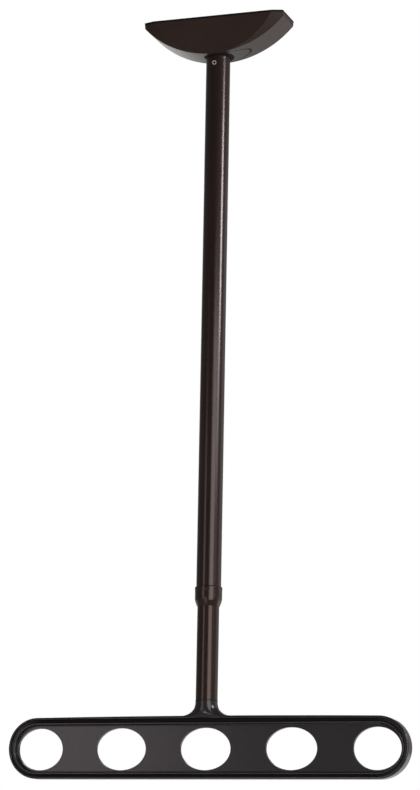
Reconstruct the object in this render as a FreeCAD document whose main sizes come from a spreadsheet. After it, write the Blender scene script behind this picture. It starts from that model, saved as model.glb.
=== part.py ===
"""Ceiling mounted telescopic laundry pole hanger.

Frame: the ceiling is the plane Z = 0 and the pole hangs down along -Z.
X runs along the arm and the base, Y through their depth, front at -Y.
"""
import FreeCAD, Part
import os
import re

import Sketcher

Vec = FreeCAD.Vector
Rot = FreeCAD.Rotation

DOC = FreeCAD.newDocument("PoleHanger")

# Driving dimensions, in millimetres.
SIZES = {
    # how far a cutting tool passes a face, and the gap round a part that slips in
    "over": 1.0,
    "slip": 0.05,
    "pin_slip": 0.03,
    # half-moon base cover
    "cover_half_length": 77.0,
    "cover_drop": 40.0,
    "cover_arc": 104.0,
    "cover_low_half": 17.5,
    "cover_top_half": 22.6,
    "cover_bevel_arc": 91.9,
    "cover_wall": 2.4,
    "gasket_thick": 1.0,
    "pole_hole": 15.0,
    "slot_long": 36.5,
    "slot_wide": 15.8,
    "slot_start": 7.0,
    "slot_gap": 0.4,
    "slot_end_gap": 1.1,
    "socket_wall": 1.6,
    "socket_floor": 7.0,
    "socket_lap": 2.5,
    "bush_top": 32.0,
    "bush_edge": 37.9,
    "bush_low": 38.6,
    "bush_gap": 0.15,
    "bush_chamfer": 0.85,
    # steel parts inside the base
    "plate_half_length": 70.0,
    "plate_half_depth": 16.8,
    "plate_thick": 2.5,
    "bolt_half_x": 55.0,
    "bolt_half_y": 10.0,
    "bolt_hole": 2.75,
    "tab_place": 45.0,
    "tab_half_width": 6.0,
    "tab_drop": 17.0,
    "tab_thick": 2.0,
    "tab_screw_drop": 12.0,
    "screw_start": 12.0,
    "screw_rod": 1.95,
    "screw_rod_long": 7.6,
    "screw_pilot": 2.0,
    "screw_hole": 2.2,
    "screw_seat": 3.9,
    "screw_head": 3.6,
    "screw_head_tall": 1.4,
    "screw_head_start": 19.6,
    "drive_deep": 0.7,
    "drive_half_long": 2.4,
    "drive_half_wide": 0.4,
    "rail_left": 19.0,
    "rail_right": 38.0,
    "rail_half": 16.7,
    "rail_wall": 1.8,
    "rail_web": 2.5,
    "rail_lip_top": 12.0,
    "rail_lip_low": 14.5,
    "rail_lip_end": 8.0,
    "rail_throat": 12.9,
    "rail_rivet": 2.0,
    "rail_rivet_hole": 2.05,
    "rail_rivet_cap": 3.4,
    "rail_rivet_cap_tall": 1.4,
    "rail_rivet_left": 12.0,
    "rail_rivet_right": 34.0,
    "rail_rivet_y": 9.0,
    "lock_place": 22.7,
    "lock_shank": 7.9,
    "lock_head": 5.0,
    "lock_head_low": 15.0,
    "lock_thread": 3.0,
    "lock_thread_hole": 3.02,
    "lock_drive_half": 0.6,
    # pole
    "outer_tube": 12.7,
    "inner_tube": 11.1,
    "tube_wall": 1.2,
    "head_flange": 14.5,
    "head_top": 7.5,
    "head_low": 62.0,
    "head_bore": 5.0,
    "head_gap": 0.04,
    "head_chamfer": 1.0,
    "head_chamfer_tall": 2.0,
    "flange_lift": 0.05,
    "plug_top": 0.2,
    "rivet_drop": 48.7,
    "rivet_shank": 2.0,
    "rivet_roll": 0.35,
    "rivet_stand": 0.5,
    "outer_low": 616.8,
    "collar": 13.9,
    "collar_top": 602.4,
    "collar_low": 622.6,
    "collar_bore": 11.18,
    "inner_top": 450.0,
    "stem_joint": 717.4,
    # quarter-turn lock on top of the inner tube
    "cage": 11.4,
    "cage_bore": 9.95,
    "cage_low": 447.7,
    "cage_top": 427.0,
    "cage_cap": 3.0,
    "cam_long": 9.9,
    "cam_short": 7.4,
    "cam_gap": 0.3,
    "core_low": 472.0,
    "core_bore": 2.5,
    "core_bore_long": 40.0,
    "core_pin": 1.5,
    "core_pin_drop": 461.0,
    "core_pin_inset": 0.2,
    "bolt_rod": 2.48,
    "bolt_rod_end": 3.0,
    "bolt_shoulder": 3.0,
    "bolt_shoulder_top": 1.15,
    "bolt_head": 5.0,
    "bolt_head_top": 5.0,
    "bolt_socket": 2.2,
    "bolt_socket_low": 2.5,
    "washer": 7.0,
    "washer_low": 0.1,
    "washer_top": 1.1,
    "shoe_half_width": 6.2,
    "shoe_low": 445.0,
    "shoe_high": 433.0,
    "band_middle": 439.0,
    "band_half": 0.7,
    "band_bore": 10.6,
    "band_inset": 0.1,
    "shoe_gap": 0.2,
    "shoe_seat_gap": 0.02,
    # arm
    "arm_end_centre": 181.0,
    "arm_half_height": 31.0,
    "arm_crown": 1.1,
    "bead_crown": 0.7,
    "arm_drop": 765.15,
    "arm_depth": 15.5,
    "web_depth": 4.2,
    "bead": 2.2,
    "inner_drop": 0.35,
    "channel_end": 4.9,
    "ridge_end": 6.85,
    "panel_start": 8.0,
    "channel_deep": 3.2,
    "ridge_drop": 0.3,
    "panel_step": 0.6,
    "bullnose": 1.6,
    "bead_inner_round": 0.5,
    "ridge_round": 0.75,
    "channel_round": 1.0,
    "ridge_foot_round": 0.8,
    "panel_rim_round": 0.35,
    "pitch_inner": 90.4,
    "pitch_end": 178.85,
    "hole_drop": 766.05,
    "hole_half_height": 21.15,
    "hole_half_length": 26.9,
    "end_hole_half_length": 24.75,
    "stem": 11.35,
    "spigot": 9.85,
    "spigot_top": 692.0,
    "set_screw": 2.5,
    "set_screw_drop": 705.0,
    "set_screw_seat": 5.0,
    "set_screw_start": 5.2,
    "set_screw_inset": 0.4,
    "key_half": 1.2,
    "key_start": 2.4,
    "key_long": 3.0,
}

FUNCTIONS = {"sqrt"}
PARTS = []


def make_sheet():
    """Puts every driving dimension in one spreadsheet, one alias per row."""
    sheet = DOC.addObject("Spreadsheet::Sheet", "Dims")
    for row, (alias, value) in enumerate(SIZES.items(), start=1):
        sheet.set(f"A{row}", alias)
        sheet.set(f"B{row}", str(value))
        sheet.setAlias(f"B{row}", alias)
    DOC.recompute()
    return sheet


SHEET = make_sheet()


def terms(text):
    """Turns 'outer_tube - tube_wall' into an expression on the sheet."""
    def name(match):
        word = match.group(0)
        return word if word in FUNCTIONS else "Dims." + word
    return re.sub(r"[a-z][a-z_0-9]*", name, str(text))


def value(text):
    """The number that an expression has now."""
    result = SHEET.evalExpression(terms(text))
    return float(getattr(result, "Value", result))


def bind(obj, **props):
    """Binds properties to expressions; place_x and so on set the position."""
    for prop, text in props.items():
        path = {"place_x": "Placement.Base.x",
                "place_y": "Placement.Base.y",
                "place_z": "Placement.Base.z"}.get(prop, prop)
        obj.setExpression(path, terms(text))
    return obj


# ---------------------------------------------------------------- primitives

ALONG = {
    "z": Rot(),
    "y": Rot(Vec(1, 0, 0), -90),
    "-y": Rot(Vec(1, 0, 0), 90),
}


def cylinder(name, radius, height, at=("0", "0", "0"), along="z"):
    """A cylinder that starts at a point and runs along an axis."""
    obj = DOC.addObject("Part::Cylinder", name)
    obj.Placement = FreeCAD.Placement(Vec(), ALONG[along])
    return bind(obj, Radius=radius, Height=height,
                place_x=at[0], place_y=at[1], place_z=at[2])


def cone(name, first, second, height, at=("0", "0", "0"), along="z"):
    """A cone that starts at a point and runs along an axis."""
    obj = DOC.addObject("Part::Cone", name)
    obj.Placement = FreeCAD.Placement(Vec(), ALONG[along])
    return bind(obj, Radius1=first, Radius2=second, Height=height,
                place_x=at[0], place_y=at[1], place_z=at[2])


def box(name, low, high):
    """A box between two corners, each an expression per axis."""
    obj = DOC.addObject("Part::Box", name)
    return bind(obj,
                Length=f"({high[0]}) - ({low[0]})",
                Width=f"({high[1]}) - ({low[1]})",
                Height=f"({high[2]}) - ({low[2]})",
                place_x=low[0], place_y=low[1], place_z=low[2])


def oval_post(name, long, wide, low, high):
    """An upright elliptical post about Z between two heights."""
    edge = DOC.addObject("Part::Ellipse", name + "_edge")
    bind(edge, MajorRadius=long, MinorRadius=wide, place_z=low)
    post = DOC.addObject("Part::Extrusion", name)
    post.Base = edge
    post.DirMode = "Custom"
    post.Dir = Vec(0, 0, 1)
    post.Solid = True
    return bind(post, LengthFwd=f"({high}) - ({low})")


def fuse(name, *shapes):
    obj = DOC.addObject("Part::MultiFuse", name)
    obj.Shapes = list(shapes)
    return obj


def common(name, *shapes):
    obj = DOC.addObject("Part::MultiCommon", name)
    obj.Shapes = list(shapes)
    return obj


def cut(name, base, *tools):
    obj = DOC.addObject("Part::Cut", name)
    obj.Base = base
    obj.Tool = tools[0] if len(tools) == 1 else fuse(name + "_tools", *tools)
    return obj


def group(name, *solids):
    """Separate solids that share one node."""
    obj = DOC.addObject("Part::Compound", name)
    obj.Links = list(solids)
    return obj


def finish(node, obj):
    """Names a finished sub-part."""
    obj.Label = node
    PARTS.append(obj)
    return obj


# ------------------------------------------------------------ turned bodies

def new_sketch(body, name, role):
    """A sketch on one of the body's own origin planes."""
    sketch = body.newObject("Sketcher::SketchObject", name)
    plane = next(f for f in body.Origin.OriginFeatures if f.Role == role)
    sketch.AttachmentSupport = [(plane, "")]
    sketch.MapMode = "FlatFace"
    return sketch


def pin_point(sketch, index, place, x, y):
    """Ties a sketch point to two expressions."""
    for kind, text in (("DistanceX", x), ("DistanceY", y)):
        datum = Sketcher.Constraint(kind, -1, 1, index, place, value(text))
        number = sketch.addConstraint(datum)
        sketch.setExpression(f"Constraints[{number}]", terms(text))


def polygon(sketch, points):
    """A closed polygon whose corners are pairs of expressions."""
    corners = [Vec(value(x), value(y), 0) for x, y in points]
    first = sketch.GeometryCount
    count = len(corners)
    for i, corner in enumerate(corners):
        sketch.addGeometry(Part.LineSegment(corner, corners[(i + 1) % count]), False)
    for i in range(count):
        after = first + (i + 1) % count
        sketch.addConstraint(Sketcher.Constraint("Coincident", first + i, 2, after, 1))
    for i, (x, y) in enumerate(points):
        pin_point(sketch, first + i, 1, x, y)


def turned(name, points):
    """A body turned about Z from a profile of (radius, height) corners."""
    body = DOC.addObject("PartDesign::Body", name)
    sketch = new_sketch(body, name + "_profile", "XZ_Plane")
    polygon(sketch, points)
    turn = body.newObject("PartDesign::Revolution", name + "_turn")
    turn.Profile = sketch
    turn.ReferenceAxis = (sketch, ["V_Axis"])
    turn.Angle = 360
    return body


# --------------------------------------------------------------------- base

def half_moon(tag, inset):
    """The cover's outer form, or its cavity when it is inset by the wall."""
    arc = f"(cover_arc - {inset})"
    low = f"(cover_low_half - {inset})"
    top = f"(cover_top_half - {inset})"
    middle = f"{arc} - cover_drop + {inset}"
    bevel = "(cover_arc - cover_bevel_arc)"
    run = "(cover_top_half - cover_low_half)"
    drum = cylinder(tag + "_drum", arc, f"2 * {low}", ("0", f"-{low}", middle), "y")
    cones = [cone(f"{tag}_bevel_{side}", arc, f"{arc} - {bevel}", run,
                  ("0", f"{sign}{low}", middle), along)
             for side, sign, along in (("rear", "", "y"), ("front", "-", "-y"))]
    lens = fuse(tag + "_lens", drum, *cones)
    wedge = DOC.addObject("Part::Wedge", tag + "_wedge")
    wedge.Placement = FreeCAD.Placement(Vec(), ALONG["y"])
    half = f"(cover_half_length - {inset})"
    bind(wedge, Ymin="0", Ymax="cover_drop", Xmin=f"-{half}", Xmax=half,
         X2min=f"-{half}", X2max=half, Zmin=f"-{top}", Zmax=top,
         Z2min=f"-{low}", Z2max=low)
    return common(tag, lens, wedge)


def make_cover():
    """Half-moon shell, its rim gasket and the filler over the pole's entry slot."""
    solid = half_moon("cover_form", "0")
    cavity = half_moon("cover_cavity", "cover_wall")
    shell = cut("cover_shell", solid, cavity)
    rim = box("rim_slab", ("-cover_half_length", "-cover_top_half", "-gasket_thick"),
              ("cover_half_length", "cover_top_half", "0"))
    finish("ceiling_gasket", common("gasket_ring", shell, rim))
    below = "-cover_drop - over"
    inside = "-cover_drop / 2"
    pole_hole = cylinder("pole_hole_tool", "pole_hole", "cover_drop / 2 + over", ("0", "0", below))
    slot = common("slot_tool",
                  oval_post("slot_oval", "slot_long", "slot_wide", below, inside),
                  box("slot_side", ("slot_start", "-slot_wide", below),
                      ("slot_long", "slot_wide", inside)))
    holes = []
    for side in ("-", ""):
        x = f"{side}tab_place"
        tag = "left" if side else "right"
        holes.append(cylinder(f"cover_screw_hole_{tag}", "screw_hole", "cover_top_half",
                              (x, "screw_start", "-tab_screw_drop"), "y"))
        holes.append(cylinder(f"cover_screw_seat_{tag}", "screw_seat", "cover_top_half",
                              (x, "screw_head_start", "-tab_screw_drop"), "y"))
    finish("base_cover", cut("cover", shell, rim, pole_hole, slot, *holes))
    make_slot_cover(solid, cavity, below)


def make_slot_cover(solid, cavity, below):
    """Snap-in filler: a piece of the underside with a socket for the lock screw's head."""
    outline = oval_post("filler_oval", "slot_long - slot_end_gap", "slot_wide - slot_gap",
                        below, "-gasket_thick")
    side = box("filler_side", ("slot_start + slot_gap", "-slot_wide", below),
               ("slot_long", "slot_wide", "-gasket_thick"))
    plate = cut("filler_plate", common("filler_form", solid, outline, side), cavity,
                cylinder("filler_pole_gap", "pole_hole", "cover_drop", ("0", "0", below)))
    top = "-lock_head_low + socket_lap"
    post = common("filler_post_form", solid,
                  cylinder("filler_post", "lock_head + socket_wall", f"{top} + cover_drop",
                           ("lock_place", "0", "-cover_drop")))
    socket = cylinder("filler_socket", "lock_head + slip", "cover_drop",
                      ("lock_place", "0", "-cover_drop + socket_floor"))
    finish("slot_cover", cut("filler", fuse("filler_blank", plate, post), socket))


def make_mounting_plate():
    """Steel plate screwed to the ceiling, with two bent tabs that hold the cover."""
    half = "plate_half_depth"
    plate = box("plate_sheet", ("-plate_half_length", f"-{half}", "-plate_thick"),
                ("plate_half_length", half, "0"))
    tabs = [box(f"tab_{tag}",
                (f"{side}tab_place - tab_half_width", f"{half} - tab_thick", "-tab_drop"),
                (f"{side}tab_place + tab_half_width", half, "-plate_thick"))
            for tag, side in (("left", "-"), ("right", ""))]
    tools = []
    for i, (x, y) in enumerate((a, b) for a in ("-", "") for b in ("-", "")):
        tools.append(cylinder(f"bolt_hole_{i}", "bolt_hole", "plate_thick + 2 * over",
                              (f"{x}bolt_half_x", f"{y}bolt_half_y", "-plate_thick - over")))
    for i, (x, y) in enumerate(RAIL_RIVETS):
        tools.append(cylinder(f"rail_rivet_hole_{i}", "rail_rivet_hole", "plate_thick + 2 * over",
                              (x, y, "-plate_thick - over")))
    for tag, side in (("left", "-"), ("right", "")):
        tools.append(cylinder(f"tab_hole_{tag}", "screw_pilot", "plate_half_depth",
                              (f"{side}tab_place", "screw_start", "-tab_screw_drop"), "y"))
    finish("mounting_plate", cut("plate", fuse("plate_blank", plate, *tabs), *tools))


RAIL_RIVETS = [("-rail_rivet_left", "-rail_rivet_y"), ("-rail_rivet_left", "rail_rivet_y"),
               ("rail_rivet_right", "-rail_rivet_y"), ("rail_rivet_right", "rail_rivet_y")]


def make_rail():
    """Folded rail that carries the pole's flange on two lips."""
    half = "rail_half"
    web_low = "-plate_thick - rail_web"
    outer = box("rail_block", ("-rail_left", f"-{half}", "-rail_lip_low"),
                ("rail_right", half, "-plate_thick"))
    inner = f"({half} - rail_wall)"
    room = box("rail_room", ("-rail_left + rail_wall", f"-{inner}", "-rail_lip_top"),
               ("rail_right + over", inner, web_low))
    mouth = box("rail_mouth", ("rail_lip_end", f"-{inner}", "-rail_lip_low - over"),
                ("rail_right + over", inner, web_low))
    throat = cylinder("rail_throat", "rail_throat", "rail_lip_low - rail_lip_top + 2 * over",
                      ("0", "0", "-rail_lip_low - over"))
    lane = box("rail_lane", ("0", "-rail_throat", "-rail_lip_low - over"),
               ("rail_lip_end + over", "rail_throat", "-rail_lip_top + over"))
    holes = [cylinder(f"rail_hole_{i}", "rail_rivet_hole", "rail_web + 2 * over",
                      (x, y, f"{web_low} - over"))
             for i, (x, y) in enumerate(RAIL_RIVETS)]
    holes.append(cylinder("rail_lock_hole", "lock_thread_hole", "rail_web + 2 * over",
                          ("lock_place", "0", f"{web_low} - over")))
    finish("hanger_rail", cut("rail", outer, room, mouth, throat, lane, *holes))
    rivets = [fuse(f"rail_rivet_{i}",
                   cylinder(f"rail_rivet_shank_{i}", "rail_rivet", "plate_thick + rail_web",
                            (x, y, web_low)),
                   cylinder(f"rail_rivet_head_{i}", "rail_rivet_cap", "rail_rivet_cap_tall",
                            (x, y, f"{web_low} - rail_rivet_cap_tall")))
              for i, (x, y) in enumerate(RAIL_RIVETS)]
    finish("rail_rivets", group("rail_rivet_set", *rivets))


def make_base_fasteners():
    """The screw that locks the pole's flange in the rail, and the cover's two screws."""
    web_low = "-plate_thick - rail_web"
    thread = cylinder("lock_thread_rod", "lock_thread", "rail_web", ("lock_place", "0", web_low))
    shank = cylinder("lock_shank_rod", "lock_shank", "rail_lip_top - plate_thick - rail_web",
                     ("lock_place", "0", "-rail_lip_top"))
    head = cylinder("lock_head_disc", "lock_head", "lock_head_low - rail_lip_top",
                    ("lock_place", "0", "-lock_head_low"))
    drive = box("lock_drive", ("lock_place - lock_drive_half", "-lock_head", "-lock_head_low - over"),
                ("lock_place + lock_drive_half", "lock_head", "-lock_head_low + over"))
    finish("lock_screw", cut("lock", fuse("lock_blank", thread, shank, head), drive))
    screws = []
    for tag, side in (("left", "-"), ("right", "")):
        x = f"{side}tab_place"
        rod = cylinder(f"cover_screw_rod_{tag}", "screw_rod", "screw_rod_long",
                       (x, "screw_start", "-tab_screw_drop"), "y")
        cap = cylinder(f"cover_screw_cap_{tag}", "screw_head", "screw_head_tall",
                       (x, "screw_head_start", "-tab_screw_drop"), "y")
        nick = box(f"cover_screw_nick_{tag}",
                   (f"{x} - drive_half_long", "screw_head_start + drive_deep",
                    "-tab_screw_drop - drive_half_wide"),
                   (f"{x} + drive_half_long", "screw_head_start + screw_head_tall + over",
                    "-tab_screw_drop + drive_half_wide"))
        screws.append(cut(f"cover_screw_{tag}", fuse(f"cover_screw_blank_{tag}", rod, cap), nick))
    finish("cover_screws", group("cover_screw_set", *screws))


# --------------------------------------------------------------------- pole

def make_pole_head():
    """Flanged plug in the top of the pole, with the tubular rivet that holds it."""
    bore = "(outer_tube - tube_wall)"
    plug = turned("head_plug", [
        ("head_bore", "-head_low"),
        (f"{bore} - head_chamfer", "-head_low"),
        (f"{bore} - head_gap", "-head_low + head_chamfer_tall"),
        (f"{bore} - head_gap", "-rail_lip_top + plug_top"),
        ("head_flange", "-rail_lip_top + flange_lift"),
        ("head_flange", "-head_top"),
        ("head_bore", "-head_top"),
    ])
    across = cylinder("head_cross_hole", "rivet_shank + pin_slip", "2 * outer_tube",
                      ("0", "-outer_tube", "-rivet_drop"), "y")
    finish("pole_head", cut("head", plug, across))
    reach = "(outer_tube + rivet_stand)"
    shank = cylinder("rivet_shank_rod", "rivet_shank", f"2 * {reach}",
                     ("0", f"-{reach}", "-rivet_drop"), "y")
    rolled = cylinder("rivet_rolled_ends", "rivet_shank + rivet_roll", f"2 * {reach}",
                      ("0", f"-{reach}", "-rivet_drop"), "y")
    inside = cylinder("rivet_tube_room", "outer_tube + pin_slip", "4 * rivet_shank",
                      ("0", "0", "-rivet_drop - 2 * rivet_shank"))
    bore_tool = cylinder("rivet_bore", "rivet_shank / 2", f"2 * {reach} + 2 * over",
                         ("0", f"-{reach} - over", "-rivet_drop"), "y")
    rims = cut("rivet_rims", rolled, inside)
    finish("head_rivet", cut("rivet", fuse("rivet_blank", shank, rims), bore_tool))


# The collar's outer wall from its lip to its rounded foot: (inset, drop)
COLLAR_PROFILE = [
    ("0.65", "0"),
    ("-0.15", "0.9"),
    ("-0.15", "3.2"),
    ("0", "4.2"),
    ("0", "12"),
    ("0.35", "14.6"),
    ("1.1", "16.9"),
    ("1.9", "19.2"),
    ("2.35", "(collar_low - collar_top)"),
]


def make_outer_tube():
    """Outer tube, the black bush at the cover and the guide collar at its foot."""
    bore = "outer_tube - tube_wall"
    wall = turned("outer_wall", [
        (bore, "-outer_low"),
        ("outer_tube", "-outer_low"),
        ("outer_tube", "-rail_lip_top"),
        (bore, "-rail_lip_top"),
    ])
    across = cylinder("tube_cross_hole", "rivet_shank + pin_slip", "2 * outer_tube + 2 * over",
                      ("0", "-outer_tube - over", "-rivet_drop"), "y")
    finish("outer_tube", cut("outer", wall, across))
    finish("entry_bush", turned("bush", [
        ("outer_tube + slip", "-bush_low"),
        ("pole_hole - bush_gap - bush_chamfer", "-bush_low"),
        ("pole_hole - bush_gap", "-bush_edge"),
        ("pole_hole - bush_gap", "-bush_top"),
        ("outer_tube + slip", "-bush_top"),
    ]))
    finish("end_collar", turned("collar_ring", [
        ("outer_tube + pin_slip", "-collar_top"),
        *[(f"collar - ({inset})", f"-collar_top - {drop}") for inset, drop in COLLAR_PROFILE],
        ("collar_bore", "-collar_low"),
        ("collar_bore", "-outer_low - slip"),
        ("outer_tube + pin_slip", "-outer_low - slip"),
    ]))


def make_inner_tube():
    """Inner tube with the pin that fixes the lock's core in its top."""
    bore = "inner_tube - tube_wall"
    wall = turned("inner_wall", [
        (bore, "-stem_joint"),
        ("inner_tube", "-stem_joint"),
        ("inner_tube", "-inner_top"),
        (bore, "-inner_top"),
    ])
    across = cylinder("inner_cross_hole", "core_pin + pin_slip", "2 * inner_tube + 2 * over",
                      ("0", "-inner_tube - over", "-core_pin_drop"), "y")
    rear = cylinder("inner_set_hole", "set_screw + pin_slip", "inner_tube",
                    ("0", "0", "-set_screw_drop"), "y")
    finish("inner_tube", cut("inner", wall, across, rear))
    finish("core_pin", cylinder("core_pin_rod", "core_pin", "2 * inner_tube - 2 * core_pin_inset",
                                ("0", "-inner_tube + core_pin_inset", "-core_pin_drop"), "y"))


def make_lock():
    """Quarter-turn lock: an oval cam presses two shoes on the outer tube's bore."""
    foot = "-cage_low - cam_gap"
    bolt_hole = "bolt_shoulder + slip"
    plug = turned("core_plug", [
        ("core_bore", "-core_low"),
        ("inner_tube - tube_wall - slip", "-core_low"),
        ("inner_tube - tube_wall - slip", "-inner_top"),
        ("inner_tube - slip", "-inner_top"),
        ("inner_tube - slip", foot),
        ("core_bore", foot),
    ])
    cam = oval_post("core_cam", "cam_long", "cam_short", foot, "-cage_top - cage_cap - cam_gap")
    cam_bore = cylinder("cam_bore", "core_bore", "core_bore_long", ("0", "0", foot))
    pin_hole = cylinder("core_pin_hole", "core_pin + pin_slip", "2 * inner_tube",
                        ("0", "-inner_tube", "-core_pin_drop"), "y")
    finish("cam_core", cut("core", fuse("core_blank", plug, cam), cam_bore, pin_hole))

    ring = turned("cage_ring", [
        ("cage_bore", "-cage_low"),
        ("cage", "-cage_low"),
        ("cage", "-cage_top"),
        (bolt_hole, "-cage_top"),
        (bolt_hole, "-cage_top - cage_cap"),
        ("cage_bore", "-cage_top - cage_cap"),
    ])
    windows = box("cage_windows",
                  ("-cage - over", "-shoe_half_width - shoe_gap", "-shoe_low - shoe_gap"),
                  ("cage + over", "shoe_half_width + shoe_gap", "-shoe_high + shoe_gap"))
    groove = make_band("cage_groove", "band_bore - slip", "cage + over", "band_half + slip")
    finish("lock_cage", cut("cage_body", ring, windows, groove))

    shoes = []
    for tag, low, high in (("left", "-cage - over", "0"), ("right", "0", "cage + over")):
        sleeve = turned(f"shoe_sleeve_{tag}", [
            ("cage_bore + shoe_seat_gap", "-shoe_low"),
            ("cage + slip", "-shoe_low"),
            ("cage + slip", "-shoe_high"),
            ("cage_bore + shoe_seat_gap", "-shoe_high"),
        ])
        window = box(f"shoe_window_{tag}", (low, "-shoe_half_width", "-shoe_low"),
                     (high, "shoe_half_width", "-shoe_high"))
        slot = make_band(f"shoe_groove_{tag}", "band_bore - slip", "cage + over", "band_half + slip")
        shoes.append(cut(f"shoe_{tag}", common(f"shoe_form_{tag}", sleeve, window), slot))
    finish("brake_shoes", group("brake_shoe_set", *shoes))
    finish("shoe_band", make_band("band", "band_bore", "cage - band_inset", "band_half"))

    finish("lock_washer", turned("washer_ring", [
        (bolt_hole, "-cage_top + washer_low"),
        ("washer", "-cage_top + washer_low"),
        ("washer", "-cage_top + washer_top"),
        (bolt_hole, "-cage_top + washer_top"),
    ]))
    finish("lock_bolt", turned("bolt", [
        ("0", "-core_pin_drop + bolt_rod_end"),
        ("bolt_rod", "-core_pin_drop + bolt_rod_end"),
        ("bolt_rod", "-cage_top - cage_cap - cam_gap"),
        ("bolt_shoulder", "-cage_top - cage_cap - cam_gap"),
        ("bolt_shoulder", "-cage_top + bolt_shoulder_top"),
        ("bolt_head", "-cage_top + bolt_shoulder_top"),
        ("bolt_head", "-cage_top + bolt_head_top"),
        ("bolt_socket", "-cage_top + bolt_head_top"),
        ("bolt_socket", "-cage_top + bolt_socket_low"),
        ("0", "-cage_top + bolt_socket_low"),
    ]))


def make_band(name, inner, outer, half):
    """A flat ring round the shoes, or the groove that holds it."""
    return turned(name, [
        (inner, f"-band_middle - ({half})"),
        (outer, f"-band_middle - ({half})"),
        (outer, f"-band_middle + {half}"),
        (inner, f"-band_middle + {half}"),
    ])


# ---------------------------------------------------------------------- arm

def middle_drop(offset):
    """The bead's outlines share the arm's middle line. The ridge and the panel sit lower."""
    return "arm_drop" if offset in CROWNS else "arm_drop + inner_drop"


def outline(sketch, offset, crown):
    """The arm's outline, moved inwards: two round ends, a flat foot, a flat or crowned top."""
    first = sketch.GeometryCount
    radius = f"arm_half_height - ({offset})"
    r = value(radius)
    x = value("arm_end_centre")
    level = middle_drop(offset)
    z = -value(level)
    top = Part.LineSegment(Vec(x, z + r, 0), Vec(-x, z + r, 0))
    if crown:
        top = Part.Arc(Vec(x, z + r, 0), Vec(0, z + r + value(crown), 0), Vec(-x, z + r, 0))
    right = Part.Arc(Vec(x, z - r, 0), Vec(x + r, z, 0), Vec(x, z + r, 0))
    left = Part.Arc(Vec(-x, z + r, 0), Vec(-x - r, z, 0), Vec(-x, z - r, 0))
    foot = Part.LineSegment(Vec(-x, z - r, 0), Vec(x, z - r, 0))
    for edge in (right, top, left, foot):
        sketch.addGeometry(edge, False)
    for i in range(4):
        after = first + (i + 1) % 4
        sketch.addConstraint(Sketcher.Constraint("Coincident", first + i, 2, after, 1))
    for index, side in ((first, ""), (first + 2, "-")):
        pin_point(sketch, index, 3, f"{side}arm_end_centre", f"-({level})")
        number = sketch.addConstraint(Sketcher.Constraint("Radius", index, r))
        sketch.setExpression(f"Constraints[{number}]", terms(radius))
    for index, end, centre in ((first, 1, first), (first, 2, first),
                               (first + 2, 1, first + 2), (first + 2, 2, first + 2)):
        sketch.addConstraint(Sketcher.Constraint("Vertical", index, end, centre, 3))
    if crown:
        bend = f"(arm_end_centre ^ 2 + ({crown}) ^ 2) / (2 * ({crown}))"
        number = sketch.addConstraint(Sketcher.Constraint("Radius", first + 1, value(bend)))
        sketch.setExpression(f"Constraints[{number}]", terms(bend))


def padded(body, name, offsets, depth):
    """Adds the area between outlines, centred on the arm's middle plane."""
    sketch = new_sketch(body, name + "_sketch", "XZ_Plane")
    for offset in offsets:
        outline(sketch, offset, CROWNS.get(offset, ""))
    pad = body.newObject("PartDesign::Pad", name)
    pad.Profile = sketch
    pad.Midplane = True
    pad.setExpression("Length", terms(depth))
    return pad


def loop_edges(shape, depth, offset):
    """Names of the edges of one outline on both faces at this depth."""
    names = []
    half = value("arm_half_height") - value(offset)
    reach = value("arm_end_centre") + half
    crown = value(CROWNS[offset]) if offset in CROWNS else 0
    for i, edge in enumerate(shape.Edges, start=1):
        low, high = edge.BoundBox.YMin, edge.BoundBox.YMax
        if abs(high - low) > 0.01 or abs(abs(high) - depth) > 0.01:
            continue
        middle = edge.valueAt((edge.FirstParameter + edge.LastParameter) / 2)
        x = abs(middle.x)
        z = middle.z + value(middle_drop(offset))
        on_end = abs(x - reach) < 0.05
        on_foot = abs(z + half) < 0.05 and x < 1
        on_top = abs(z - half - crown) < 0.05 and x < 1
        if on_end or on_foot or on_top:
            names.append(f"Edge{i}")
    return names


def rounded(body, base, name, radius, depth, offset):
    """Rounds one outline's edges on both faces."""
    DOC.recompute()
    names = loop_edges(base.Shape, value(depth), offset)
    fillet = body.newObject("PartDesign::Fillet", name)
    fillet.Base = (base, names)
    fillet.setExpression("Radius", terms(radius))
    return fillet


# How far the top of an outline rises in the middle, where it isn't flat.
CROWNS = {"0": "arm_crown", "bead": "bead_crown"}

# Edges to round: (name, radius, depth of the edge, outline)
ARM_ROUNDS = [
    ("bead_round", "bullnose", "arm_depth / 2", "0"),
    ("bead_inside", "bead_inner_round", "arm_depth / 2", "bead"),
    ("ridge_outside", "ridge_round", "arm_depth / 2 - ridge_drop", "channel_end"),
    ("ridge_inside", "ridge_round", "arm_depth / 2 - ridge_drop", "ridge_end"),
    ("channel_outside", "channel_round", "arm_depth / 2 - channel_deep", "bead"),
    ("channel_inside", "channel_round", "arm_depth / 2 - channel_deep", "channel_end"),
    ("ridge_foot", "ridge_foot_round", "web_depth / 2 - panel_step", "ridge_end"),
    ("panel_rim", "panel_rim_round", "web_depth / 2", "panel_start"),
]


def make_arm_plate():
    """Cast plate: a flat panel on a thin web, in a deep rim of a bead, a channel and a ridge."""
    body = DOC.addObject("PartDesign::Body", "arm_plate")
    padded(body, "arm_web", ["channel_end"], "web_depth - 2 * panel_step")
    padded(body, "arm_floor", ["0", "ridge_end"], "arm_depth - 2 * channel_deep")
    padded(body, "arm_bead", ["0", "bead"], "arm_depth")
    padded(body, "arm_ridge", ["channel_end", "ridge_end"], "arm_depth - 2 * ridge_drop")
    last = padded(body, "arm_panel", ["panel_start"], "web_depth")
    for name, radius, depth, offset in ARM_ROUNDS:
        last = rounded(body, last, name, radius, depth, offset)
    body.Tip = last
    return body


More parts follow.
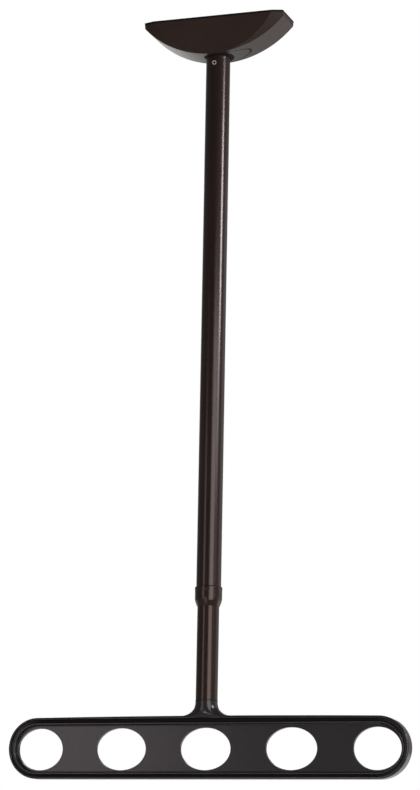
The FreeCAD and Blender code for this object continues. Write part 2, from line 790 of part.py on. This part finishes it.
HOLES = [("-pitch_end", "end_hole_half_length"), ("-pitch_inner", "hole_half_length"),
         ("0", "hole_half_length"), ("pitch_inner", "hole_half_length"),
         ("pitch_end", "end_hole_half_length")]

# Stem sections from the tube's foot down into the arm: (drop, half length, half depth)
STEM_SECTIONS = [
    ("stem_joint", "stem", "stem"),
    ("stem_joint + 3.6", "stem", "stem"),
    ("stem_joint + 8", "stem + 1.25", "stem - 0.05"),
    ("stem_joint + 12.1", "stem + 5.05", "stem - 0.3"),
    ("stem_joint + 14.4", "stem + 9.8", "stem - 0.9"),
    ("stem_joint + 16.2", "stem + 17", "stem - 1.9"),
    ("stem_joint + 18.2", "stem + 9", "arm_depth / 2 - 0.4"),
]


def make_arm():
    """Arm casting: plate, pole holes, flared stem and the spigot in the inner tube."""
    plate = make_arm_plate()
    holes = []
    for i, (x, half) in enumerate(HOLES, start=1):
        edge = DOC.addObject("Part::Ellipse", f"hole_edge_{i}")
        edge.Placement = FreeCAD.Placement(Vec(), Rot(Vec(1, 0, 0), 90))
        bind(edge, MajorRadius=half, MinorRadius="hole_half_height",
             place_x=x, place_y="arm_depth", place_z="-hole_drop")
        tool = DOC.addObject("Part::Extrusion", f"hole_{i}")
        tool.Base = edge
        tool.DirMode = "Custom"
        tool.Dir = Vec(0, -1, 0)
        tool.Solid = True
        holes.append(bind(tool, LengthFwd="2 * arm_depth"))
    rings = []
    for i, (drop, long, wide) in enumerate(STEM_SECTIONS):
        ring = DOC.addObject("Part::Ellipse", f"stem_ring_{i}")
        rings.append(bind(ring, MajorRadius=long, MinorRadius=wide, place_z=f"-({drop})"))
    flare = DOC.addObject("Part::Loft", "stem_flare")
    flare.Sections = rings
    flare.Solid = True
    flare.Ruled = False
    spigot = cylinder("stem_spigot", "spigot", "stem_joint - spigot_top", ("0", "0", "-stem_joint"))
    rim = cut("arm_rim", plate, *holes)
    seat = cylinder("set_screw_hole", "set_screw + pin_slip", "inner_tube",
                    ("0", "set_screw_seat", "-set_screw_drop"), "y")
    finish("arm", cut("arm_casting", fuse("arm_blank", rim, flare, spigot), seat))
    screw = cylinder("set_screw_rod", "set_screw", "inner_tube - set_screw_start - set_screw_inset",
                     ("0", "set_screw_start", "-set_screw_drop"), "y")
    key = cylinder("set_screw_key", "key_half", "key_long",
                   ("0", "inner_tube - key_start", "-set_screw_drop"), "y")
    finish("arm_set_screw", cut("set_screw", screw, key))


# ------------------------------------------------------------------- export

def check_document():
    """Stops if any object failed or any sub-part is not a valid solid."""
    for obj in DOC.Objects:
        if {"Invalid", "Error"} & set(obj.State):
            raise RuntimeError(f"{obj.Name} failed: {obj.State}")
    for part in PARTS:
        shape = part.Shape
        if shape.isNull() or not shape.isValid() or not shape.Solids:
            raise RuntimeError(f"{part.Label} has no valid solid")


def export_parts():
    os.makedirs("parts", exist_ok=True)
    for part in PARTS:
        part.Shape.exportStep(f"parts/{part.Label}.step")
        bounds = part.Shape.BoundBox
        print(f"{part.Label:16} solids {len(part.Shape.Solids)} volume {part.Shape.Volume:10.1f} "
              f"x {bounds.XMin:7.1f} {bounds.XMax:7.1f} y {bounds.YMin:6.1f} {bounds.YMax:6.1f} "
              f"z {bounds.ZMin:7.1f} {bounds.ZMax:7.1f}")


make_cover()
make_mounting_plate()
make_rail()
make_base_fasteners()
make_pole_head()
make_outer_tube()
make_inner_tube()
make_lock()
make_arm()
DOC.recompute()
check_document()
export_parts()
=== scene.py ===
"""Looks for the ceiling laundry pole hanger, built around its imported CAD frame. Lengths are in metres."""

import math

import bpy
from mathutils import Matrix, Vector


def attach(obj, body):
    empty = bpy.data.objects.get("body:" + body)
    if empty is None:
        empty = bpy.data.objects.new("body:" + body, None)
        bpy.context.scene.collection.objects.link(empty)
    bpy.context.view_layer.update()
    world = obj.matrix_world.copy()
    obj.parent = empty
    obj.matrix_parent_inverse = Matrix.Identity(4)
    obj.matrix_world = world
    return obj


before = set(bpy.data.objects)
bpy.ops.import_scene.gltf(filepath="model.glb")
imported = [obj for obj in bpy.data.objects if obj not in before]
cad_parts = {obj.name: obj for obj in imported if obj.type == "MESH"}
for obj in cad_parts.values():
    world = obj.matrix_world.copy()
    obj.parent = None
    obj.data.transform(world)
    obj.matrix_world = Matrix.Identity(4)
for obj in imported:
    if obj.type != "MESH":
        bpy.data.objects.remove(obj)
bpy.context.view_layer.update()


# ---------------------------------------------------------------- node trees

# Most of a noise's values lie in the narrow range, and nearly all of them in the wide one
NARROW = (0.35, 0.65)
WIDE = (0.3, 0.7)


class Nodes:
    """Short calls that add shader nodes to a tree and return their outputs."""

    def __init__(self, tree, coordinates):
        self.tree = tree
        self.place = self.new("TexCoord").outputs[coordinates]

    def new(self, kind):
        return self.tree.nodes.new("ShaderNode" + kind)

    def link(self, source, target):
        self.tree.links.new(source, target)

    def stretched(self, factors):
        """The coordinates times one factor for each axis."""
        mapping = self.new("Mapping")
        mapping.inputs["Scale"].default_value = factors
        self.link(self.place, mapping.inputs["Vector"])
        return mapping.outputs["Vector"]

    def noise(self, scale, detail=3.0, roughness=0.55, at=None):
        node = self.new("TexNoise")
        node.inputs["Scale"].default_value = scale
        node.inputs["Detail"].default_value = detail
        node.inputs["Roughness"].default_value = roughness
        self.link(at or self.place, node.inputs["Vector"])
        return node.outputs["Fac"]

    def cells(self, scale):
        node = self.new("TexVoronoi")
        node.inputs["Scale"].default_value = scale
        self.link(self.place, node.inputs["Vector"])
        return node.outputs["Distance"]

    def blend(self, factor, colours, limits=WIDE):
        """The first colour below the limits of the factor, the second above them, a blend between."""
        node = self.new("ValToRGB")
        for element, place, colour in zip(node.color_ramp.elements, limits, colours):
            element.position = place
            element.color = (*colour, 1.0)
        self.link(factor, node.inputs["Fac"])
        return node.outputs["Color"]

    def ranged(self, factor, values, limits=WIDE, smooth=False):
        """The first value below the limits of the factor, the second above them, a blend between."""
        node = self.new("MapRange")
        if smooth:
            node.interpolation_type = "SMOOTHSTEP"
        sockets = ("From Min", "From Max", "To Min", "To Max")
        for socket, value in zip(sockets, (*limits, *values)):
            node.inputs[socket].default_value = value
        self.link(factor, node.inputs["Value"])
        return node.outputs["Result"]

    def split(self):
        """The coordinates' X, Y and Z."""
        node = self.new("SeparateXYZ")
        self.link(self.place, node.inputs["Vector"])
        return node.outputs["X"], node.outputs["Y"], node.outputs["Z"]

    def maths(self, operation, *values):
        """The result of an operation on numbers and outputs."""
        node = self.new("Math")
        node.operation = operation
        for socket, value in zip(node.inputs, values):
            if isinstance(value, (int, float)):
                socket.default_value = value
            else:
                self.link(value, socket)
        return node.outputs["Value"]

    def between(self, source, low, high):
        """1 where the source is between two values, and 0 elsewhere."""
        above = self.maths("GREATER_THAN", source, low)
        return self.maths("MULTIPLY", above, self.maths("LESS_THAN", source, high))

    def seen(self):
        """1 for what the camera sees directly, and 0 for what lights or mirrors in the object."""
        return self.new("LightPath").outputs["Is Camera Ray"]


# ---------------------------------------------------------------- materials

# Base colours, and where there are two, the darker one first
CAST_BRONZE = (0.018, 0.0155, 0.0165)
TUBE_BRONZE = (0.019, 0.0105, 0.0085)
COVER_BROWN = (0.0235, 0.011, 0.008)
COLLAR_BROWN = (0.02, 0.0105, 0.008)
RUBBER_BLACKS = [(0.006, 0.006, 0.006), (0.013, 0.013, 0.012)]
ZINC_GREYS = [(0.47, 0.48, 0.5), (0.62, 0.62, 0.6)]
STEEL_GREYS = [(0.84, 0.84, 0.84), (0.94, 0.94, 0.93)]
NYLON_WHITES = [(0.6, 0.59, 0.54), (0.72, 0.71, 0.66)]
# Near-black painted into masked places: painted shade in the arm's channel, the cover's seam and the
# rivet's bore, a dark joint line at the arm's stem, and a near-black rim on the cover
DARK_PAINT = (0.004, 0.0035, 0.0035)
WHITE = (1.0, 1.0, 1.0, 1.0)

# Colours of the reflections
CAST_TINT = (1.0, 0.9, 0.94)
OUTER_TUBE_TINT = (1.0, 0.84, 0.84)
INNER_TUBE_TINT = (1.0, 0.78, 0.7)
PLASTIC_TINT = (1.0, 0.86, 0.8)

# What the painted dark places get: the gloss is taken away, and the cast paint is made rougher
LOWERED_SPECULAR = 0.2
ADDED_ROUGHNESS = 0.5

# Where the arm is painted dark: painted shade along the floor of its channel, fading out at the ends, and a
# dark joint line at its stem's joint
CHANNEL_DEPTHS = (0.0042, 0.0051)
CHANNEL_HEIGHTS = (-1.0, -0.7352)
CHANNEL_FADE_LIMITS = (0.178, 0.2)
CHANNEL_FADE = (1.0, 0.25)
JOINT_HEIGHTS = (-0.7182, -0.7168)

# Where the cover is painted dark: painted shade in the seam round the slot cover, as a band round an
# ellipse, and a near-black band along the rim on top
SLOT_LONG, SLOT_WIDE = 0.0365, 0.0158
SEAM_BAND = (0.945, 1.02)
SEAM_LENGTHS = (0.016, 1.0)
SEAM_HEIGHTS = (-1.0, -0.025)
RIM_HEIGHTS = (-0.0021, 1.0)

# The tubular rivet's centre height and the radius of its bore, which is painted dark as shade
RIVET_DROP = 0.0487
RIVET_BORE = 0.0013


class Paint(Nodes):
    """A procedural material. Patterns are in object coordinates, so their scales are per metre."""

    def __init__(self, name, metallic=0.0):
        self.material = bpy.data.materials.new(name)
        self.material.use_nodes = True
        super().__init__(self.material.node_tree, "Object")
        self.shader = self.tree.nodes["Principled BSDF"]
        self.normal = None
        self.set("Metallic", metallic)

    def set(self, socket, value):
        self.shader.inputs[socket].default_value = value

    def colour(self, source):
        self.link(source, self.shader.inputs["Base Color"])

    def rough(self, source):
        self.link(source, self.shader.inputs["Roughness"])

    def tint(self, colour):
        """Colours the reflections."""
        self.set("Specular Tint", (*colour, 1.0))

    def dull(self, mask, unmarked):
        """The specular level: the unmarked one where the mask is 0, and the lowered one where it is 1,
        which deepens the painted dark.
        """
        level = self.ranged(mask, (unmarked, LOWERED_SPECULAR), limits=(0.0, 1.0))
        self.link(level, self.shader.inputs["Specular IOR Level"])

    def darkened(self, source, mask):
        """The source colour, with the painted near-black where the mask is 1."""
        node = self.new("Mix")
        node.data_type = "RGBA"
        self.link(mask, node.inputs["Factor"])
        self.link(source, node.inputs["A"])
        node.inputs["B"].default_value = (*DARK_PAINT, 1.0)
        return node.outputs["Result"]

    def bump(self, height, depth, strength):
        """Adds a relief on top of those before it."""
        node = self.new("Bump")
        node.inputs["Distance"].default_value = depth
        node.inputs["Strength"].default_value = strength
        self.link(height, node.inputs["Height"])
        if self.normal:
            self.link(self.normal, node.inputs["Normal"])
        self.normal = node.outputs["Normal"]
        self.link(self.normal, self.shader.inputs["Normal"])


def shades(colour, low=0.9, high=1.1):
    """A darker and a lighter shade of a colour."""
    return [tuple(part * factor for part in colour) for factor in (low, high)]


def arm_shade_and_joint(paint):
    """1 in the arm's channel, where shade is painted, and at its stem's joint, where a dark joint line is
    painted, and 0 elsewhere.
    """
    x, y, z = paint.split()
    # Painted shade along the channel's floor; the band at the joint is a dark joint line
    deep = paint.between(paint.maths("ABSOLUTE", y), *CHANNEL_DEPTHS)
    straight = paint.ranged(paint.maths("ABSOLUTE", x), CHANNEL_FADE, CHANNEL_FADE_LIMITS)
    channel = paint.maths("MULTIPLY", deep, paint.between(z, *CHANNEL_HEIGHTS))
    channel = paint.maths("MULTIPLY", channel, straight)
    return paint.maths("MAXIMUM", channel, paint.between(z, *JOINT_HEIGHTS))


def cover_seam_shade_and_rim(paint):
    """1 in the seam round the slot cover, where shade is painted, and along the rim at the ceiling, which
    is painted near-black, and 0 elsewhere.
    """
    x, y, z = paint.split()
    long = paint.maths("POWER", paint.maths("DIVIDE", x, SLOT_LONG), 2.0)
    wide = paint.maths("POWER", paint.maths("ABSOLUTE", paint.maths("DIVIDE", y, SLOT_WIDE)), 2.0)
    # Painted shade: a band round the slot cover's ellipse, only towards +X and low on the cover
    seam = paint.between(paint.maths("SQRT", paint.maths("ADD", long, wide)), *SEAM_BAND)
    below = paint.maths("MULTIPLY", paint.between(x, *SEAM_LENGTHS), paint.between(z, *SEAM_HEIGHTS))
    # The rim at the ceiling is painted near-black
    return paint.maths("MAXIMUM", paint.maths("MULTIPLY", seam, below), paint.between(z, *RIM_HEIGHTS))


def rivet_bore(paint):
    """1 inside the rivet's bore, where shade is painted, and 0 elsewhere."""
    x, _, z = paint.split()
    rise = paint.maths("ADD", z, RIVET_DROP)
    square = paint.maths("ADD", paint.maths("MULTIPLY", x, x), paint.maths("MULTIPLY", rise, rise))
    return paint.maths("LESS_THAN", square, RIVET_BORE ** 2)


def cast_paint():
    """Satin bronze paint on a die casting, with the fine grain of the powder. Painted shade in its channel
    and a dark joint line at its stem darken and dull it in places.
    """
    paint = Paint("cast_paint")
    drift = paint.noise(scale=14.0)
    grain = paint.noise(scale=2600.0, detail=2.0)
    # Painted shade along the channel's floor and a dark joint line at the stem: darker, duller and rougher
    # there
    darkening = arm_shade_and_joint(paint)
    satin = paint.blend(drift, shades(CAST_BRONZE), NARROW)
    paint.colour(paint.darkened(satin, darkening))
    clean_roughness = paint.ranged(grain, (0.15, 0.23))
    paint.rough(paint.maths("ADD", clean_roughness, paint.maths("MULTIPLY", darkening, ADDED_ROUGHNESS)))
    paint.dull(darkening, unmarked=0.5)
    paint.tint(CAST_TINT)
    paint.bump(drift, depth=0.0004, strength=0.15)
    paint.bump(grain, depth=0.00006, strength=0.35)
    return paint.material


def tube_paint(name, tint):
    """Satin bronze anodising, with faint draw lines along the tube."""
    paint = Paint(name)
    drift = paint.noise(scale=9.0)
    lines = paint.noise(scale=900.0, at=paint.stretched((1.0, 1.0, 0.02)))
    paint.colour(paint.blend(drift, shades(TUBE_BRONZE, high=1.12), NARROW))
    paint.rough(paint.ranged(lines, (0.17, 0.24)))
    paint.tint(tint)
    paint.bump(lines, depth=0.00002, strength=0.08)
    return paint.material


def grained_plastic(name, brown, scale, depth, roughness, darkening=None):
    """Moulded plastic with the leathery grain of its mould. An optional mask maker gives places that are
    painted dark and dull.
    """
    paint = Paint(name)
    drift = paint.noise(scale=25.0)
    grain = paint.noise(scale, detail=4.0, roughness=0.6)
    finish = paint.blend(drift, shades(brown), NARROW)
    # Where a mask is given, its places are painted dark and dull: painted shade in the cover's seam and a
    # near-black rim
    if darkening:
        mask = darkening(paint)
        finish = paint.darkened(finish, mask)
        paint.dull(mask, unmarked=0.4)
    paint.colour(finish)
    paint.rough(paint.ranged(grain, roughness))
    paint.tint(PLASTIC_TINT)
    paint.bump(grain, depth, strength=0.5)
    return paint.material


def rubber():
    """Dull black rubber with a fine grain."""
    paint = Paint("rubber")
    grain = paint.noise(scale=1800.0)
    paint.colour(paint.blend(grain, RUBBER_BLACKS))
    paint.rough(paint.ranged(grain, (0.62, 0.8)))
    paint.set("Specular IOR Level", 0.12)
    paint.bump(grain, depth=0.00008, strength=0.4)
    return paint.material


def zinc():
    """Zinc plated sheet: a bluish grey with a cloudy crystal pattern."""
    paint = Paint("zinc", metallic=1.0)
    cloud = paint.cells(scale=220.0)
    scratches = paint.noise(scale=700.0, at=paint.stretched((0.06, 1.0, 1.0)))
    paint.colour(paint.blend(cloud, ZINC_GREYS, limits=(0.0, 0.8)))
    paint.rough(paint.ranged(scratches, (0.28, 0.46)))
    paint.bump(scratches, depth=0.00003, strength=0.3)
    return paint.material


def bright_steel():
    """The tubular rivet's bright metal, with painted shade in its bore."""
    paint = Paint("bright_steel", metallic=1.0)
    marks = paint.noise(scale=1500.0)
    metal = paint.blend(marks, STEEL_GREYS)
    # Painted shade in the rivet's bore
    paint.colour(paint.darkened(metal, rivet_bore(paint)))
    paint.rough(paint.ranged(marks, (0.4, 0.55)))
    paint.bump(marks, depth=0.00002, strength=0.3)
    return paint.material


def nylon():
    """Milky white nylon, a little translucent."""
    paint = Paint("nylon")
    drift = paint.noise(scale=120.0)
    paint.colour(paint.blend(drift, NYLON_WHITES))
    paint.rough(paint.ranged(drift, (0.4, 0.52)))
    paint.set("Subsurface Weight", 0.1)
    paint.bump(paint.noise(scale=1500.0), depth=0.00004, strength=0.3)
    return paint.material


CAST = cast_paint()
OUTER_TUBE = tube_paint("outer_tube_paint", OUTER_TUBE_TINT)
INNER_TUBE = tube_paint("inner_tube_paint", INNER_TUBE_TINT)
COVER_PLASTIC = grained_plastic("cover_plastic", COVER_BROWN, scale=1300.0, depth=0.00006,
                                roughness=(0.3, 0.42), darkening=cover_seam_shade_and_rim)
COLLAR_PLASTIC = grained_plastic("collar_plastic", COLLAR_BROWN, scale=750.0, depth=0.00022,
                                 roughness=(0.12, 0.24))
RUBBER, ZINC, STEEL, NYLON = rubber(), zinc(), bright_steel(), nylon()

# The pieces that aren't zinc plated
NODE_MATERIALS = {
    "arm": CAST,
    "base_cover": COVER_PLASTIC,
    "slot_cover": COVER_PLASTIC,
    "end_collar": COLLAR_PLASTIC,
    "outer_tube": OUTER_TUBE,
    "inner_tube": INNER_TUBE,
    "ceiling_gasket": RUBBER,
    "entry_bush": RUBBER,
    "brake_shoes": RUBBER,
    "shoe_band": RUBBER,
    "head_rivet": STEEL,
    "lock_cage": NYLON,
}


def paint_nodes():
    for name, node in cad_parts.items():
        for slot in node.material_slots:
            slot.material = NODE_MATERIALS.get(name, ZINC)


# ---------------------------------------------------------------- the dark lip, a sheet of painted shade round the pole's entry

POLE_RADIUS = 0.0127
# The cover's underside is an arc, and its lowest point is at the pole
COVER_ARC = 0.104
COVER_DROP = 0.04
# The lip's outline is a circle, moved a little towards the slot, where the shade it stands for is wider
LIP_RADIUS = 0.0157
LIP_OFFSET = 0.0013
LIP_GAP = 0.00005
LIP_DEPTH = 0.0007
LIP_SINK = 0.0006
LIP_STEPS = 96
# The lip's section from the pole outwards: (share of its width, share of its depth), and where the second
# is negative, the share of its sink into the cover
LIP_SECTION = [(0.0, -1.0), (0.0, 0.8), (0.15, 1.0), (0.7, 1.0), (0.9, 0.75), (1.0, 0.2), (1.0, -1.0)]


def underside(x):
    """The height of the cover's arched underside."""
    return COVER_ARC - COVER_DROP - math.sqrt(COVER_ARC ** 2 - x ** 2)


def lip_section(turn):
    """The lip's section at an angle round the pole, which starts at the slot's side."""
    across = LIP_OFFSET * math.cos(turn)
    outer = across + math.sqrt(LIP_RADIUS ** 2 - LIP_OFFSET ** 2 + across ** 2)
    points = []
    for share, down in LIP_SECTION:
        radius = POLE_RADIUS + LIP_GAP + share * (outer - POLE_RADIUS)
        x, y = radius * math.cos(turn), radius * math.sin(turn)
        drop = LIP_DEPTH if down > 0 else LIP_SINK
        points.append((x, y, underside(x) - down * drop))
    return points


def lip_faces():
    """The faces between each section and the next, round the pole."""
    faces = []
    count = len(LIP_SECTION)
    for step in range(LIP_STEPS):
        this, after = step * count, (step + 1) % LIP_STEPS * count
        for i in range(count):
            following = (i + 1) % count
            faces.append((this + i, this + following, after + following, after + i))
    return faces


def make_shade_lip():
    """A black rubber lip on the cover's underside, wider towards the slot: a dark sheet laid where the
    shade round the pole's entry falls.
    """
    sections = [lip_section(2 * math.pi * step / LIP_STEPS) for step in range(LIP_STEPS)]
    points, faces = [point for section in sections for point in section], lip_faces()
    shape = bpy.data.meshes.new("shade_lip")
    # A dark sheet standing in for the shade round the pole's entry
    shape.from_pydata(points, [], faces)
    shape.polygons.foreach_set("use_smooth", [True] * len(faces))
    shape.materials.append(RUBBER)
    lip = bpy.data.objects.new("shade_lip", shape)
    bpy.context.collection.objects.link(lip)
    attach(lip, "base")


# ---------------------------------------------------------------- studio

CAMERA_PLACE = Vector((0.8638, -2.4834, -0.9309))
CAMERA_YAW = math.radians(19.229)
CAMERA_PITCH = math.radians(11.341)
CAMERA_ROLL = math.radians(1.063)
CAMERA_LENS = 118.5
CAMERA_SENSOR = 36.0

# Area lights: (name, azimuth in degrees, distance, lowest and highest point, width, glow).
# Azimuth 0 is in front of the object, and 90 is at its right.
LIGHTS = [
    ("key", 41.0, 2.0, (-1.2, 0.15), 1.22, 3.2),
    ("key_side", 71.5, 2.0, (-0.15, 0.15), 0.86, 3.4),
    ("strip", 81.0, 2.0, (0.14, 0.52), 0.44, 25.0),
    ("side_card", 132.0, 2.0, (-1.5, 0.45), 1.25, 0.4),
    ("front_card", -27.6, 3.0, (-0.9, 0.1), 0.74, 1.85),
    ("front_dim", -8.0, 3.0, (-0.8, -0.42), 0.9, 0.3),
    ("low_card", -8.0, 2.0, (-1.55, -1.05), 0.7, 4.0),
    ("rear_fill", 201.0, 3.0, (-0.3, 0.7), 1.5, 1.4),
]

# The world's light from each side: (axis, where its growth starts and ends, strength at the end)
WORLD_SIDES = [
    ("X", (0.5, 1.0), 0.22),
    ("X", (-0.5, -1.0), 0.1),
    ("Y", (0.1, 1.0), 0.25),
]
WORLD_LEAST = 0.08

FLOOR_DROP = 2.6
FLOOR_SIZE = 60.0
FLOOR_WHITES = [(0.8, 0.8, 0.79), (0.84, 0.84, 0.83)]
# The floor's glow as the object gets it, from the front to the rear, and as the camera sees it
FLOOR_GLOW = (0.12, 0.74)
FLOOR_GLOW_LIMITS = (0.5, 4.0)
FLOOR_SEEN = 0.74


def camera_turn():
    """The camera's axes as a rotation matrix."""
    yaw, pitch = CAMERA_YAW, CAMERA_PITCH
    forward = Vector((-math.sin(yaw) * math.cos(pitch), math.cos(yaw) * math.cos(pitch), math.sin(pitch)))
    level = Vector((math.cos(yaw), math.sin(yaw), 0.0))
    upright = level.cross(forward)
    right = level * math.cos(CAMERA_ROLL) + upright * math.sin(CAMERA_ROLL)
    up = upright * math.cos(CAMERA_ROLL) - level * math.sin(CAMERA_ROLL)
    return Matrix((right, up, -forward)).transposed()


def make_camera():
    camera = bpy.data.objects.new("camera", bpy.data.cameras.new("camera"))
    bpy.context.collection.objects.link(camera)
    camera.matrix_world = Matrix.Translation(CAMERA_PLACE) @ camera_turn().to_4x4()
    camera.data.lens = CAMERA_LENS
    camera.data.sensor_width = CAMERA_SENSOR
    camera.data.clip_start = 0.01
    camera.data.clip_end = 100.0
    bpy.context.scene.camera = camera


def softbox(name, azimuth, distance, heights, width, glow):
    """An area light that faces the object's axis. Its energy grows with its size, so its glow doesn't."""
    low, high = heights
    light = bpy.data.lights.new(name, "AREA")
    light.shape = "RECTANGLE"
    light.size, light.size_y = width, high - low
    light.energy = glow * math.pi * width * (high - low)
    lamp = bpy.data.objects.new(name, light)
    bpy.context.collection.objects.link(lamp)
    turn = math.radians(azimuth)
    place = Vector((math.sin(turn) * distance, -math.cos(turn) * distance, (low + high) / 2))
    lamp.location = place
    lamp.rotation_mode = "QUATERNION"
    lamp.rotation_quaternion = Vector((-place.x, -place.y, 0.0)).to_track_quat("-Z", "Y")


def make_world():
    """White to the camera. What lights the object is brighter at its sides and behind than in front."""
    world = bpy.data.worlds.new("studio")
    world.use_nodes = True
    bpy.context.scene.world = world
    world.node_tree.nodes.clear()
    nodes = Nodes(world.node_tree, "Generated")
    direction = dict(zip("XYZ", nodes.split()))
    strength = WORLD_LEAST
    for axis, limits, most in WORLD_SIDES:
        side = nodes.ranged(direction[axis], (0.0, most), limits, smooth=True)
        strength = nodes.maths("ADD", side, strength)
    lit, seen, mix = nodes.new("Background"), nodes.new("Background"), nodes.new("MixShader")
    for background in (lit, seen):
        background.inputs["Color"].default_value = WHITE
    nodes.link(strength, lit.inputs["Strength"])
    nodes.link(nodes.seen(), mix.inputs["Fac"])
    nodes.link(lit.outputs["Background"], mix.inputs[1])
    nodes.link(seen.outputs["Background"], mix.inputs[2])
    nodes.link(mix.outputs["Shader"], nodes.new("OutputWorld").inputs["Surface"])


def floor_paint():
    """Pale paint. The object gets a graded glow from it, and the camera sees an even one."""
    paint = Paint("floor_paint")
    drift = paint.noise(scale=1.5)
    paint.colour(paint.blend(drift, FLOOR_WHITES))
    paint.set("Roughness", 0.7)
    paint.set("Emission Color", WHITE)
    graded = paint.ranged(paint.split()[1], FLOOR_GLOW, FLOOR_GLOW_LIMITS)
    even = paint.maths("MULTIPLY", paint.seen(), FLOOR_SEEN)
    paint.link(paint.maths("MAXIMUM", graded, even), paint.shader.inputs["Emission Strength"])
    return paint.material


def make_floor():
    """One large square below the object."""
    half = FLOOR_SIZE / 2
    corners = [(x * half, y * half, -FLOOR_DROP) for x, y in ((-1, -1), (1, -1), (1, 1), (-1, 1))]
    shape = bpy.data.meshes.new("floor")
    shape.from_pydata(corners, [], [(0, 1, 2, 3)])
    shape.materials.append(floor_paint())
    floor = bpy.data.objects.new("floor", shape)
    bpy.context.collection.objects.link(floor)


def make_studio():
    make_camera()
    make_world()
    make_floor()
    for light in LIGHTS:
        softbox(*light)
    scene = bpy.context.scene
    scene.view_settings.view_transform = "Standard"
    scene.view_settings.look = "None"


paint_nodes()
make_shade_lip()
make_studio()
